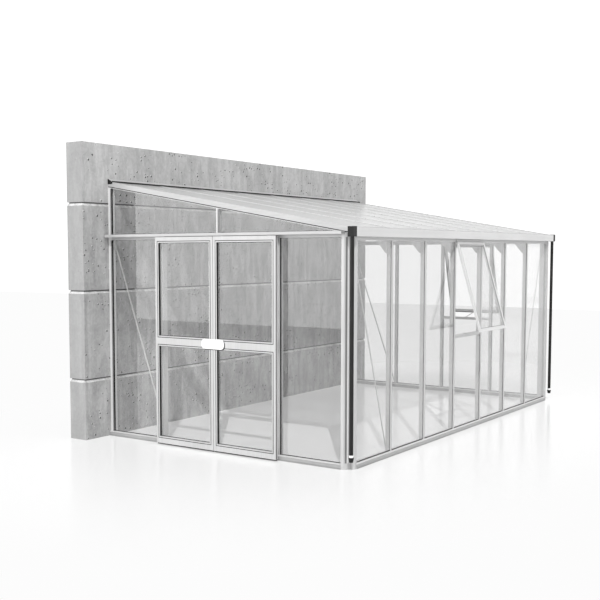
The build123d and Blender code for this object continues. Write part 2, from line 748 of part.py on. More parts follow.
# Gussets: corner plates between the upright bars and the roof bars
with BuildPart() as gussets:
    for x in bar_xs:
        with BuildSketch(Plane.YZ.offset(x - gusset_thickness / 2)):
            far = inner_front + gusset_leg
            low = rafter_z(inner_front) - gusset_leg
            Polygon((inner_front, rafter_z(inner_front)), (inner_front, low),
                    (inner_front + gusset_tip, low), (far, rafter_z(far) - gusset_tip),
                    (far, rafter_z(far)), align=None)
        extrude(amount=gusset_thickness)
keep(gussets, "gussets")

# Write one file to each piece
os.makedirs("parts", exist_ok=True)
for piece in parts:
    export_step(piece, f"parts/{piece.label}.step")
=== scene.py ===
import bpy
import json
from math import cos, pi, radians, sin, tan
from mathutils import Matrix, Vector


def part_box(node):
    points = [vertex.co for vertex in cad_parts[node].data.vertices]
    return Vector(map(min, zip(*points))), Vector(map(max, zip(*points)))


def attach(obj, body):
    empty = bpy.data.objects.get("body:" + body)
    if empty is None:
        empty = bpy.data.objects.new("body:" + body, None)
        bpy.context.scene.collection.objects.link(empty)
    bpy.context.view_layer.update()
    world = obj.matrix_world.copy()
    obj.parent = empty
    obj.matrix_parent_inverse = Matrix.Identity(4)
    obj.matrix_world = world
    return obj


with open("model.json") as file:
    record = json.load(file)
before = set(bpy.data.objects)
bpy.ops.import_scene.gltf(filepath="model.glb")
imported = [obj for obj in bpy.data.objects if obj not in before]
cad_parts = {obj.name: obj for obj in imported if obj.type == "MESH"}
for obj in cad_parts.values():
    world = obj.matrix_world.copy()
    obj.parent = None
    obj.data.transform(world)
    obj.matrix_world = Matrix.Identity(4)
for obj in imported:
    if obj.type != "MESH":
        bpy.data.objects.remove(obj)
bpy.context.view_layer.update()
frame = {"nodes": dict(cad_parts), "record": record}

# Where the greenhouse stands: the door gable faces -X and the long glazed front faces -Y.
# Every length here is in metres, read from the pieces of the frame where they have it.
end_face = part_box("sill_left")[0].x
wall_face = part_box("sill_left")[1].y


# Concrete wall: four courses cast in place against smooth panels, one on another.
# The panels leave wavy upright streaks, cloudy patches and groups of small blow holes,
# and the joints between the courses are recessed all the way round. Light and shade are also
# painted on: painted shade in the holes, the joint recesses and on the end faces, a painted
# highlight beside each hole, and painted light on the joints' up-facing splays.
class Shade:
    """One output of a material's nodes: sums on it add Math nodes, node() adds any other."""

    def __init__(self, tree, socket):
        self.tree, self.socket = tree, socket

    def node(self, kind, settings=None, inputs=None, out=0):
        made = self.tree.nodes.new("ShaderNode" + kind)
        for name, value in (settings or {}).items():
            setattr(made, name, value)
        for name, value in (inputs or {}).items():
            if isinstance(value, Shade):
                self.tree.links.new(value.socket, made.inputs[name])
            else:
                made.inputs[name].default_value = value
        return Shade(self.tree, made.outputs[out]) if made.outputs else None

    def sum(self, operation, first, second):
        return self.node("Math", {"operation": operation}, {0: first, 1: second})

    def __add__(self, other):
        return self.sum("ADD", self, other)

    def __radd__(self, other):
        return self.sum("ADD", other, self)

    def __sub__(self, other):
        return self.sum("SUBTRACT", self, other)

    def __rsub__(self, other):
        return self.sum("SUBTRACT", other, self)

    def __mul__(self, other):
        return self.sum("MULTIPLY", self, other)

    def __rmul__(self, other):
        return self.sum("MULTIPLY", other, self)

    def __pow__(self, other):
        return self.sum("POWER", self, other)

    def __abs__(self):
        return self.sum("ABSOLUTE", self, 0.0)

    def __gt__(self, other):
        return self.sum("GREATER_THAN", self, other)

    def __lt__(self, other):
        return self.sum("LESS_THAN", self, other)

    def step(self, low, high, start=0.0, end=1.0):
        """Rises smoothly from start to end as the value goes from low to high."""
        return self.node("MapRange", {"interpolation_type": "SMOOTHSTEP"},
                         {"Value": self, "From Min": low, "From Max": high,
                          "To Min": start, "To Max": end})

    def axis(self, number):
        return self.node("SeparateXYZ", None, {"Vector": self}, number)

    def noise(self, scale, detail=4.0, stretch=(1, 1, 1), wander=0.0):
        """Cloudy variation of this place, finer as scale grows."""
        spread = self.node("Mapping", None, {"Vector": self, "Scale": stretch})
        return self.node("TexNoise", None, {"Vector": spread, "Scale": scale, "Detail": detail,
                                            "Distortion": wander})

    def blend(self, first, second):
        """Colour between first and second, by this value."""
        return self.node("Mix", {"data_type": "RGBA"}, {"Factor": self, 6: first, 7: second}, 2)

    def bump(self, strength, distance):
        return self.node("Bump", None,
                         {"Height": self, "Strength": strength, "Distance": distance})


def grey(level):
    return (level, level, level, 1)


def new_finish(name):
    """An empty material, and the place on the piece that its pattern starts from."""
    material = bpy.data.materials.new(name)
    material.use_nodes = True
    tree = material.node_tree
    tree.nodes.clear()
    place = tree.nodes.new("ShaderNodeTexCoord").outputs["Object"]
    return material, Shade(tree, place)


def surface(place, inputs):
    """Finish the material with one plain surface."""
    place.node("OutputMaterial", None, {"Surface": place.node("BsdfPrincipled", None, inputs)})


def dress(material, *names):
    """Give frame pieces their finish."""
    for name in names:
        for slot in frame["nodes"][name].material_slots:
            slot.material = material


concrete, place = new_finish("fair_faced_concrete")
height = place.axis(2)
panel = place.node("CombineXYZ", None, {0: place.axis(0) + place.axis(1), 1: height})
facing = place.node("NewGeometry", None, None, "Normal")
upright = abs(facing.axis(2)) < 0.5
wall_end = abs(facing.axis(0)) > 0.5
clouds = panel.noise(1.1, 4, (1, 0.7, 1))
patches = panel.noise(5.0, 6, (1, 0.7, 1), 0.8)
streaks = panel.noise(9.0, 5, (1, 0.2, 1), 0.6)
runs = panel.noise(26.0, 3, (1, 0.09, 1), 0.6)
mottle = panel.noise(19.0, 6, (1, 0.8, 1), 1.5)
grain = place.noise(90, 3)
tone = (0.22 * clouds.step(0.3, 0.7) + 0.26 * patches.step(0.34, 0.66)
        + 0.36 * streaks.step(0.42, 0.62) + 0.10 * runs.step(0.36, 0.64)
        + 0.28 * mottle.step(0.36, 0.66))
top_from, top_full, top_paler = 2.3, 2.8, 0.42
# End faces are pulled towards one darker, flatter tone: painted shade that offsets the stronger
# light falling on them.
end_shade_tone, end_shade_share = 0.2, 0.6
tone = tone + top_paler * height.step(top_from, top_full) * (1 - wall_end)
tone = tone + (end_shade_tone - tone) * (end_shade_share * wall_end)
shade = (0.7 * tone).blend(grey(0.255), grey(0.555))

cells = {"Scale": 17.0, "Randomness": 1.0}
raggedness, glint_shift = 0.022, (0.009, -0.007, 0)
smallest, spread, glint_share = 0.06, 0.13, 0.65
left_out, end_left_out = 0.52, 0.9
wobble = panel.node("TexNoise", None, {"Vector": panel, "Scale": 50.0, "Detail": 2.0}, 1)
ragged = panel.node("VectorMath", {"operation": "MULTIPLY_ADD"},
                    {0: wobble, 1: (raggedness, raggedness, 0), 2: panel})
beside = panel.node("Mapping", None, {"Vector": ragged, "Location": glint_shift})
flat = {"voronoi_dimensions": "2D"}
pits_with_painted_shade = panel.node("TexVoronoi", flat, {"Vector": ragged, **cells})
glints = panel.node("TexVoronoi", flat, {"Vector": beside, **cells})
chance = panel.node("TexVoronoi", flat, {"Vector": ragged, **cells}, 1)
groups = panel.noise(3.4, 3, (0.8, 1.0, 1)) > 0.5
chosen = (chance.axis(0) > left_out) * groups * upright * (1 - end_left_out * wall_end)
pit_size = smallest + spread * chance.axis(1)
pits_with_painted_shade = (pits_with_painted_shade < pit_size) * chosen
glints = (glints < pit_size * glint_share) * chosen
# Each blow hole is a dent with a dark spot of painted shade, and the pale spot beside it, shifted
# to the lit side, is a painted highlight on its rim.
shade = pits_with_painted_shade.blend(glints.blend(shade, grey(0.74)), grey(0.07))

# The joints' up-facing splays are painted paler than the concrete, as painted light where they face
# the light, and mottled.
lit_splay = abs(facing.axis(2) - 0.5) < 0.35
shade = lit_splay.blend(shade, (mottle + patches).step(0.75, 1.15).blend(grey(0.42), grey(0.66)))
# The recessed face of each joint is painted dark on upright faces: painted shade in the recess.
joint_shade_drop, joint_shade_half = 0.0065, 0.007
joint_painted_shade = 0.0
for joint in [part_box(f"wall_course_{number}")[1].z for number in (1, 2, 3)]:
    joint_painted_shade = joint_painted_shade + (abs(height - (joint - joint_shade_drop)) < joint_shade_half)
shade = (joint_painted_shade * upright).blend(shade, grey(0.13))
relief = grain * 0.12 + mottle * 0.5 - pits_with_painted_shade * 1.5
surface(place, {"Base Color": shade, "Roughness": 0.72 + 0.18 * patches,
                "Normal": relief.bump(0.5, 0.004)})
dress(concrete, "wall_course_1", "wall_course_2", "wall_course_3", "wall_course_4")


# Frame: extruded aluminium bars, posts, beams and sills, sawn to length and screwed
# together from inside. Most are satin anodised, with faint lines along the extrusion and
# dust low down; the roof bars and the vents have a paler coat. The sills are painted darker
# as painted shade, with painted light along their tops, and the gutter's paler colour is a
# painted reflection.
def satin_aluminium(name, stretch, low=0.475, high=0.545, painted_light_from=9.0):
    """Anodised finish whose fine lines run where the stretch is small.

    Above the given height the colour is painted light, a bright band where the top catches the
    light."""
    material, place = new_finish(name)
    lines = place.noise(90, 2, stretch)
    cloud = place.noise(2.5, 4)
    dust = place.axis(2).step(0.02, 0.3, 0.12, 0.0) * place.noise(7, 4).step(0.3, 0.7)
    tone = (0.5 * lines + 0.5 * cloud).step(0.3, 0.7) - dust
    # Above that height the colour is painted light.
    shade = (place.axis(2) > painted_light_from).blend(tone.blend(grey(low), grey(high)), grey(0.60))
    surface(place, {"Base Color": shade, "Metallic": 0.2,
                    "Roughness": 0.36 + 0.14 * cloud + 0.3 * dust,
                    "Normal": lines.bump(0.15, 0.0004)})
    return material


def pale_coat_and_painted_reflection(name, stretch, low, high):
    """Pale colour between two tones, nearly even, with a soft sheen: a powder coat, and on the
    gutter a painted reflection.
    """
    material, place = new_finish(name)
    lines = place.noise(40, 2, stretch)
    cloud = place.noise(1.8, 4)
    peel = place.noise(420, 2)
    tone = (0.4 * lines + 0.6 * cloud).step(0.3, 0.7)
    surface(place, {"Base Color": tone.blend(grey(low), grey(high)),
                    "Roughness": 0.34 + 0.1 * cloud, "Normal": peel.bump(0.08, 0.0003)})
    return material


across_lines, deep_lines, upright_lines = (0.02, 1, 1), (1, 0.02, 1), (1, 1, 0.02)
# The sills' darker tones are painted shade on their outward noses, and their top edge and top face
# are painted light.
lit_lip_tall = 0.009
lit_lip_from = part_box("sill_front")[1].z - lit_lip_tall
upright_metal = satin_aluminium("satin_aluminium_upright", upright_lines)
long_metal = satin_aluminium("satin_aluminium_long", across_lines)
deep_metal = satin_aluminium("satin_aluminium_deep", deep_lines, 0.43, 0.49)
front_sill_shaded_metal = satin_aluminium("satin_aluminium_front_sill_painted_shade", across_lines, 0.34, 0.39,
                                   lit_lip_from)
gable_sill_shaded_metal = satin_aluminium("satin_aluminium_gable_sill_painted_shade", deep_lines, 0.32, 0.37,
                                   lit_lip_from)
# The gutter's paler colour is a painted reflection, standing for the white surroundings that it
# mirrors.
gutter_painted_reflection = pale_coat_and_painted_reflection("gutter_pale_painted_reflection", across_lines, 0.57, 0.63)
pale_deep = pale_coat_and_painted_reflection("pale_coat_deep", deep_lines, 0.61, 0.67)
pale_upright = pale_coat_and_painted_reflection("pale_coat_upright", upright_lines, 0.60, 0.66)
dress(upright_metal, *[row["node"] for row in frame["record"]["subparts"]
                       if row["material_slot"] == "aluminium"])
dress(front_sill_shaded_metal, "sill_front")
dress(gable_sill_shaded_metal, "sill_left", "sill_right")
dress(long_metal, "eave_beam", "ridge_profile", "vent_transoms")
dress(deep_metal, "left_gable_beam", "right_gable_beam", "door_track", "rafters")
dress(gutter_painted_reflection, "gutter")
dress(pale_deep, "roof_bars")
dress(pale_upright, "wall_post_left", "left_gable_mullion", "vent_sash_front",
      "vent_sash_right")


# Glass: clear float panes 4 mm thick, held in the bars and leaves.
# Each face mirrors a little, more at a slant, and the long front's panes mirror most.
# Wiped dust leaves the shine slightly uneven.
def clear_glass(name, shine):
    """Clear pane that mirrors the given share of what stands square before it."""
    material, place = new_finish(name)
    slant = place.node("LayerWeight", None, {"Blend": 0.5}, "Facing")
    film = place.noise(3.0, 3, (1, 1, 0.3))
    clear = place.node("BsdfTransparent", None, {"Color": grey(0.93)})
    mirror = place.node("BsdfGlossy", None, {"Color": grey(1.0),
                                             "Roughness": 0.004 + 0.012 * film})
    pane = place.node("MixShader", None, {"Fac": shine + 0.9 * slant ** 5, 1: clear, 2: mirror})
    place.node("OutputMaterial", None, {"Surface": pane})
    return material


dress(clear_glass("clear_glass", 0.042), "left_gable_glass", "right_gable_glass",
      "door_glass_left", "door_glass_right", "vent_glass")
dress(clear_glass("clear_glass_front", 0.085), "front_glass")

# Rainwater goods and seals: dark moulded plastic and black rubber, pushed in dry.
# The surface has the fine even texture of the mould. The grey strips beside the posts are
# painted shade: a grey with a faint bloom, standing for the shade beside the posts.
dark, place = new_finish("dark_moulded_plastic")
fine = place.noise(300, 2)
cloud = place.noise(6, 3)
surface(place, {"Base Color": cloud.step(0.3, 0.7).blend(grey(0.008), grey(0.013)),
                "Specular IOR Level": 0.22, "Roughness": 0.36 + 0.12 * cloud,
                "Normal": fine.bump(0.1, 0.0004)})
dress(dark, "downpipes", "gutter_outlets", "downpipe_shoes", "ridge_seal")
grey_painted_shade, place = new_finish("grey_painted_shade")
bloom = place.noise(5, 3, (1, 1, 0.2))
surface(place, {"Base Color": bloom.step(0.3, 0.7).blend(grey(0.13), grey(0.17)),
                "Roughness": 0.55 + 0.15 * bloom, "Normal": bloom.bump(0.1, 0.0006)})

# Door handle and pipe collars: white moulded plastic, glossy.
# The handle is a plate in two halves across the meeting line, held by two screws each.
white, place = new_finish("white_moulded_plastic")
cloud = place.noise(9, 3)
surface(place, {"Base Color": cloud.step(0.3, 0.7).blend(grey(0.86), grey(0.90)),
                "Roughness": 0.22 + 0.1 * cloud, "Normal": cloud.bump(0.05, 0.001)})
dress(white, "door_handle_left", "door_handle_right", "downpipe_collars")

# Roof sheets: opal multiwall polycarbonate, 16 mm thick, one to a bay.
# Its inner webs run down the slope and show as fine lines.
# The skin is glossy, and light falls through it softly.
web_spacing = 0.032
opal, place = new_finish("opal_multiwall_sheet")
slant = place.node("LayerWeight", None, {"Blend": 0.5}, "Facing")
webs = place.node("Math", {"operation": "SINE"}, {0: place.axis(0) * (2 * pi / web_spacing)})
cloud = place.noise(1.4, 3, (1, 0.3, 1))
skin = place.node("BsdfPrincipled", None, {
    "Base Color": (0.5 + 0.5 * webs).blend(grey(0.75), grey(0.83)),
    "Roughness": 0.12 + 0.06 * cloud, "Normal": webs.bump(0.12, 0.0004)})
glow = place.node("BsdfTranslucent", None, {"Color": grey(0.95)})
skin = place.node("MixShader", None, {"Fac": 0.42, 1: skin, 2: glow})
through = place.node("BsdfTransparent", None, {"Color": grey(0.95)})
sheet = place.node("MixShader", None, {"Fac": 0.5 + 0.45 * slant ** 3, 1: through, 2: skin})
place.node("OutputMaterial", None, {"Surface": sheet})
dress(opal, "roof_panes")


# Seals of the long front: a black strip under each cap edge and along each pane's foot.
# They are extruded rubber, cut to length and pressed in between the glass and the metal.
def bar(name, across, up, deep, edge):
    """A bar with softened edges, lying flat: centred across and up, its back at height 0."""
    bpy.ops.object.select_all(action="DESELECT")
    bpy.ops.mesh.primitive_cube_add(size=1, location=(0, 0, deep / 2))
    piece = bpy.context.object
    piece.name = name
    piece.scale = (across, up, deep)
    bpy.ops.object.transform_apply(location=True, rotation=True, scale=True)
    if edge:
        soften(piece, edge)
    return piece


def pick(piece, kind, test):
    """Open a piece for editing, with only the faces or edges that pass the test selected."""
    bpy.ops.object.mode_set(mode="EDIT")
    bpy.ops.mesh.select_mode(type=kind)
    bpy.ops.mesh.select_all(action="DESELECT")
    bpy.ops.object.mode_set(mode="OBJECT")
    for part in piece.data.polygons if kind == "FACE" else piece.data.edges:
        part.select = test(part)
    bpy.ops.object.mode_set(mode="EDIT")


def soften(piece, edge):
    """Round the sharp edges of a piece."""
    rounding = piece.modifiers.new("rounding", "BEVEL")
    rounding.width = edge
    rounding.segments = 2
    rounding.limit_method = "ANGLE"
    rounding.angle_limit = radians(30)
    bpy.ops.object.modifier_apply(modifier=rounding.name)


def seat(origin, outward):
    """Where a piece that was made lying flat goes: its top turns to the outward direction."""
    up = Vector(outward).normalized()
    side = Vector((0, 0, 1)).cross(up).normalized()
    rise = up.cross(side)
    turn = Matrix((side, rise, up)).transposed().to_4x4()
    return Matrix.Translation(Vector(origin)) @ turn


def set_out(piece, name, places):
    """Copies of a piece at each place, joined as one piece; the pattern piece goes."""
    bpy.ops.object.select_all(action="DESELECT")
    for place in places:
        copy = piece.copy()
        copy.data = piece.data.copy()
        bpy.context.collection.objects.link(copy)
        copy.matrix_world = place
        copy.select_set(True)
        bpy.context.view_layer.objects.active = copy
    bpy.data.objects.remove(piece)
    if len(places) > 1:
        bpy.ops.object.join()
    bpy.ops.object.transform_apply(location=True, rotation=True, scale=True)
    made = bpy.context.object
    made.name = name
    return made


def lay(name, size, edge, *places):
    """Bars of one size (across, up, deep), one at each place, joined as one piece."""
    return set_out(bar(name, *size, edge), name, places)


def join(name, pieces):
    """One piece from several."""
    bpy.ops.object.select_all(action="DESELECT")
    for piece in pieces:
        piece.select_set(True)
    bpy.context.view_layer.objects.active = pieces[0]
    bpy.ops.object.join()
    bpy.context.object.name = name
    return bpy.context.object


def fit(piece, material, body="house"):
    """Finish a new piece and hang it on its body."""
    piece.data.materials.clear()
    piece.data.materials.append(material)
    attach(piece, body)


leftwards, forwards, rightwards = (-1, 0, 0), (0, -1, 0), (1, 0, 0)
sill_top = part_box("sill_front")[1].z
front_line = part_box("front_bars")[0].y
far_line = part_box("right_gable_bars")[1].x
beam_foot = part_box("eave_beam")[0].z
bay, cap_half, cap_deep = 0.735, 0.018, 0.006
bars_across = [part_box("front_bars")[0].x + cap_half + bay * i for i in range(6)]
bar_middle = (beam_foot + sill_top) / 2
seal_wide, seal_deep, seal_edge = 0.003, 0.003, 0.0008
cap_seal = (seal_wide, beam_foot - sill_top, seal_deep)
fit(lay("front_cap_seals", cap_seal, seal_edge, *[
    seat((x + side * (cap_half + seal_wide / 2), front_line + cap_deep, bar_middle), forwards)
    for x in bars_across for side in (-1, 1)]), dark)

foot_tall, foot_deep, foot_edge = 0.009, seal_deep + 0.001, 0.001
corner_edges = (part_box("corner_post_left")[1].x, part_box("corner_post_right")[0].x)
pane_edges = [corner_edges[0]] + bars_across + [corner_edges[1]]
strips = []
for low, high in zip(pane_edges, pane_edges[1:]):
    low += 0.0 if low == corner_edges[0] else cap_half
    high -= 0.0 if high == corner_edges[1] else cap_half
    strips.append(lay("strip", (high - low, foot_tall, foot_deep), foot_edge, seat(
        ((low + high) / 2, front_line + cap_deep, sill_top + foot_tall / 2), forwards)))
fit(join("front_foot_seals", strips), dark)

# Seals of the far gable: the same strips beside its caps and at the feet of its panes.
# This gable stands square to the front, and its panes are glazed in the same way.
gable_bars = [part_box("right_gable_bars")[0].y + cap_half + bay * i for i in range(3)]
fit(lay("far_gable_cap_seals", cap_seal, seal_edge, *[
    seat((far_line - cap_deep, y + side * (cap_half + seal_wide / 2), bar_middle), rightwards)
    for y in gable_bars for side in (-1, 1)]), dark)
gable_edges = [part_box("corner_post_right")[1].y] + gable_bars + [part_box("wall_post_right")[0].y]
last_pane = len(gable_bars)
strips = []
for number, (low, high) in enumerate(zip(gable_edges, gable_edges[1:])):
    low += cap_half if number else 0.0
    high -= cap_half if number < last_pane else 0.0
    strips.append(lay("strip", (high - low, foot_tall, foot_deep), foot_edge, seat(
        (far_line - cap_deep, (low + high) / 2, sill_top + foot_tall / 2), rightwards)))
fit(join("far_gable_foot_seals", strips), dark)

# Beads over the far gable's beam: they hold the feet of the upper panes from inside.
# Each is an extrusion cut to the pane's width and clipped on the beam.
beam_low, beam_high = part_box("right_gable_beam")
cap_lip = 0.006
web_half = cap_half - cap_lip
bead_tall, bead_edge, corner_clear, bead_clear, glass_clear = 0.022, 0.002, 0.03, 0.001, 0.0005
bead_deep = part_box("right_gable_glass")[0].x - beam_low.x - glass_clear
strips = []
for number, (low, high) in enumerate(zip(gable_edges, gable_edges[1:])):
    low += web_half if number else corner_clear
    high -= web_half if number < last_pane else 0.0
    strips.append(lay("strip", (high - low - bead_clear, bead_tall, bead_deep), bead_edge, seat(
        (beam_low.x, (low + high) / 2, beam_high.z + bead_tall / 2), rightwards)))
fit(join("far_gable_beads", strips), deep_metal)

# Linings of the door gable: black rubber in the rebates beside and over each fixed pane.
# The panes sit 24 mm behind the frame's face, pressed back by these strips.
lining, lining_edge, lining_clear = 0.002, 0.0006, 0.001
foot_lining_tall, foot_lining_deep, behind_gutter_end = 0.006, 0.004, 0.12
gable_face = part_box("door_posts")[0].x
pane_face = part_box("left_gable_glass")[0].x
rebate = pane_face - gable_face - lining_clear
lintel_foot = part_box("left_gable_beam")[0].z
track_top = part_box("left_gable_beam")[1].z
wall_post_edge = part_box("wall_post_left")[0].y
corner_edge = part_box("corner_post_left")[1].y
post_low, post_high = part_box("door_posts")[0].y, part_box("door_posts")[1].y
mullion_low, mullion_high = (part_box("left_gable_mullion")[0].y,
                             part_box("left_gable_mullion")[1].y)
roof_pitch = radians(10)


def under_roof(y):
    """Height of the rafters' underside."""
    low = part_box("rafters")[0]
    return low.z + (y - low.y) * tan(roof_pitch)


strips = []
for y, side, foot, top, deep in (
        (wall_post_edge, -1, sill_top, lintel_foot, rebate),
        (post_high, 1, sill_top, lintel_foot, rebate),
        (post_low, -1, sill_top, lintel_foot, rebate),
        (corner_edge, 1, sill_top, lintel_foot, rebate),
        (wall_post_edge, -1, track_top, under_roof(wall_post_edge), rebate),
        (mullion_high - web_half, 1, track_top, under_roof(mullion_high), rebate - cap_deep),
        (mullion_low + web_half, -1, track_top, under_roof(mullion_low), rebate - cap_deep)):
    strips.append(lay("strip", (lining, top - foot - lining_clear, deep), lining_edge, seat(
        (pane_face, y + side * lining / 2, (foot + top) / 2), leftwards)))
for low, high in ((post_high, wall_post_edge), (corner_edge, post_low)):
    strips.append(lay("strip", (high - low, lining, rebate), lining_edge, seat(
        (pane_face, (low + high) / 2, lintel_foot - lining + lining / 2), leftwards)))
for low, high, foot in ((post_high, wall_post_edge, sill_top),
                        (corner_edge, post_low, sill_top),
                        (mullion_high, wall_post_edge, track_top),
                        (corner_edge + behind_gutter_end, mullion_low, track_top)):
    foot_size = (high - low, foot_lining_tall, foot_lining_deep)
    strips.append(lay("strip", foot_size, foot_edge, seat(
        (pane_face, (low + high) / 2, foot + foot_lining_tall / 2), leftwards)))
fit(join("door_gable_linings", strips), dark)

# Painted shade of the door gable: grey strips laid on the near edge of the wall post and the
# mullion, and down the slanted face of the near corner post, stand for the shade in their
# reveals and grooves. A pale strip in that face's groove is painted light, for the groove's
# lit inner face.
shade_strip_wide, shade_strip_deep, shade_strip_edge = 0.013, 0.0015, 0.0005
foot_clear, head_clear, roof_clear = 0.002, 0.002, 0.004
strips = []
for y, foot, top in ((wall_post_edge, sill_top, lintel_foot - head_clear),
                     (wall_post_edge, track_top + foot_clear,
                      under_roof(wall_post_edge) - roof_clear),
                     (mullion_low, track_top + foot_clear,
                      under_roof(mullion_low) - roof_clear)):
    strips.append(lay("strip", (shade_strip_wide, top - foot, shade_strip_deep), shade_strip_edge, seat(
        (gable_face, y + shade_strip_wide / 2, (foot + top) / 2), leftwards)))
corner_out, corner_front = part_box("corner_post_left")[0].x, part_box("corner_post_left")[0].y
slanted, slant_reach, outlet_clear = (-1, -1, 0), 0.080, 0.004
slant_foot, slant_top = 0.06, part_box("gutter_outlets")[0].z - outlet_clear
slant_middle, slant_tall = (slant_top + slant_foot) / 2, slant_top - slant_foot
slant_shade_wide, slant_shade_at = 0.0185, 0.0172
strips.append(lay("strip", (slant_shade_wide, slant_tall, shade_strip_deep), shade_strip_edge, seat(
    (corner_out + slant_shade_at, corner_front + slant_reach - slant_shade_at, slant_middle),
    slanted)))
fit(join("door_gable_painted_shade_strips", strips), grey_painted_shade)
# The pale strip is painted light: it fills the corner post's groove and stands for its lit inner
# face.
lit_strip_wide, lit_strip_deep, lit_strip_edge = 0.014, 0.010, 0.001
groove_edge, lit_strip_in, groove_deep, slant_share = 0.0244, 0.0052, 0.014, 0.707
lit_strip_at, groove_shift = groove_edge + lit_strip_in, groove_deep * slant_share
fit(lay("corner_groove_painted_light", (lit_strip_wide, slant_tall, lit_strip_deep), lit_strip_edge, seat(
    (corner_out + lit_strip_at + groove_shift,
     corner_front + slant_reach - lit_strip_at + groove_shift, slant_middle), slanted)),
    pale_upright)


# Door glazing: each pane is pushed out against black rubber, and a bead snaps in round it.
# The bead stands off by a narrow groove, which the seal's tail fills and laps: a real seal, drawn
# wider and dark as painted shade for the groove's shade.
# Brushes close the leaf's foot and a pile strip its outer edge.
def ring(name, across, up, wall, deep, edge):
    """A rectangular ring with softened edges, lying flat, its back at height 0."""
    piece = bar(name, across, up, deep, 0.0)
    pick(piece, "FACE", lambda face: abs(face.normal.z) > 0.5)
    bpy.ops.mesh.inset(thickness=wall, use_individual=True)
    bpy.ops.mesh.bridge_edge_loops()
    bpy.ops.mesh.select_all(action="SELECT")
    bpy.ops.mesh.normals_make_consistent(inside=False)
    bpy.ops.object.mode_set(mode="OBJECT")
    soften(piece, edge)
    return piece


rail_foot, rail_top = 1.038, 1.144
snug, end_clear, reveal_clear, under_track = 0.0002, 0.002, 0.0015, 0.007
tail_reach, tail_wide, tail_deep, tail_set = 0.019, 0.0068, 0.003, 0.0026
wedge_wide, wedge_deep, wedge_edge = 0.005, 0.005, 0.001
brush_tall, brush_deep, brush_edge, brush_set = 0.012, 0.006, 0.0015, 0.020
pile_wide, pile_deep, pile_edge, pile_set = 0.009, 0.0015, 0.0005, 0.0075
leaf_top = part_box("door_track")[0].z - under_track
for side in ("left", "right"):
    leaf_low, leaf_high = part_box("door_leaf_" + side)
    glass_low, glass_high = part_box("door_glass_" + side)
    leaf_face = leaf_low.x
    middle = (glass_low.y + glass_high.y) / 2
    across = glass_high.y - glass_low.y
    deep = glass_low.x - leaf_face - reveal_clear
    pieces = []
    for low, high in ((glass_low.z, rail_foot), (rail_top, glass_high.z)):
        centre, up = (low + high) / 2, high - low
        # The dark tail over the groove is partly painted shade, standing for the groove's shade.
        shade_tail = ring("shade_tail", across + 2 * tail_reach - snug, up + 2 * tail_reach - snug,
                    tail_wide, tail_deep, lining_edge)
        wedge = ring("wedge", across - 2 * snug, up - 2 * snug, wedge_wide, wedge_deep,
                     wedge_edge)
        pieces.append(set_out(shade_tail, "shade_tail", [
            seat((leaf_face + tail_set, middle, centre), leftwards)]))
        pieces.append(set_out(wedge, "wedge", [seat((glass_low.x, middle, centre), leftwards)]))
        pieces.append(lay("jamb", (lining, up - 2 * snug, deep), lining_edge, *[
            seat((glass_low.x, y, centre), leftwards)
            for y in (glass_low.y + lining / 2, glass_high.y - lining / 2)]))
        pieces.append(lay("head", (across - 2 * snug, lining, deep), lining_edge, seat(
            (glass_low.x, middle, high - lining / 2), leftwards)))
    pieces.append(lay(
        "brush", (leaf_high.y - leaf_low.y - 2 * end_clear, brush_tall, brush_deep),
        brush_edge, seat((leaf_face + brush_set, (leaf_low.y + leaf_high.y) / 2,
                          leaf_low.z - brush_tall / 2), leftwards)))
    outer_y, outward = ((leaf_low.y, (0, -1, 0)) if side == "right"
                        else (leaf_high.y, (0, 1, 0)))
    pieces.append(lay(
        "pile", (pile_wide, leaf_top - leaf_low.z - 2 * end_clear, pile_deep), pile_edge,
        seat((leaf_face + pile_set, outer_y, (leaf_top + leaf_low.z) / 2), outward)))
    fit(join(f"door_{side}_seals", pieces), dark, "door_" + side)

# Meeting strip: an extruded cover in the gap between the leaves.
# It is screwed to the left leaf, and laps the right one when the doors are shut.
leaf_low, leaf_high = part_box("door_leaf_left")
gap_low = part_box("door_leaf_right")[1].y
gap = leaf_low.y - gap_low
strip_deep, strip_set, strip_edge, gap_clear = 0.024, 0.034, 0.001, 0.001
strip_size = (gap - gap_clear, leaf_top - leaf_low.z - 2 * end_clear, strip_deep)
fit(lay("meeting_strip", strip_size, strip_edge, seat(
    (leaf_face + strip_set, gap_low + gap / 2 + snug, (leaf_top + leaf_low.z) / 2), leftwards)),
    upright_metal, "door_left")


# Handle: each half of the plate is held by two screws, and a thin dark plate behind it,
# shifted down and towards the front, is its painted shadow. The screws have shallow domed
# heads with a washer face.
def screw(name, radius, high, sides):
    """A screw head standing on height 0: a washer face, then a chamfered head."""
    bpy.ops.object.select_all(action="DESELECT")
    bpy.ops.mesh.primitive_cylinder_add(vertices=sides, radius=radius, depth=high * 0.3,
                                        location=(0, 0, high * 0.15))
    piece = bpy.context.object
    piece.name = name
    bpy.ops.object.transform_apply(location=True, rotation=True, scale=True)
    pick(piece, "FACE", lambda face: face.normal.z > 0.5)
    bpy.ops.mesh.inset(thickness=radius * 0.25)
    bpy.ops.mesh.extrude_region_move(TRANSFORM_OT_translate={"value": (0, 0, high * 0.5)})
    bpy.ops.mesh.inset(thickness=radius * 0.15)
    bpy.ops.transform.translate(value=(0, 0, high * 0.2))
    bpy.ops.object.mode_set(mode="OBJECT")
    return piece


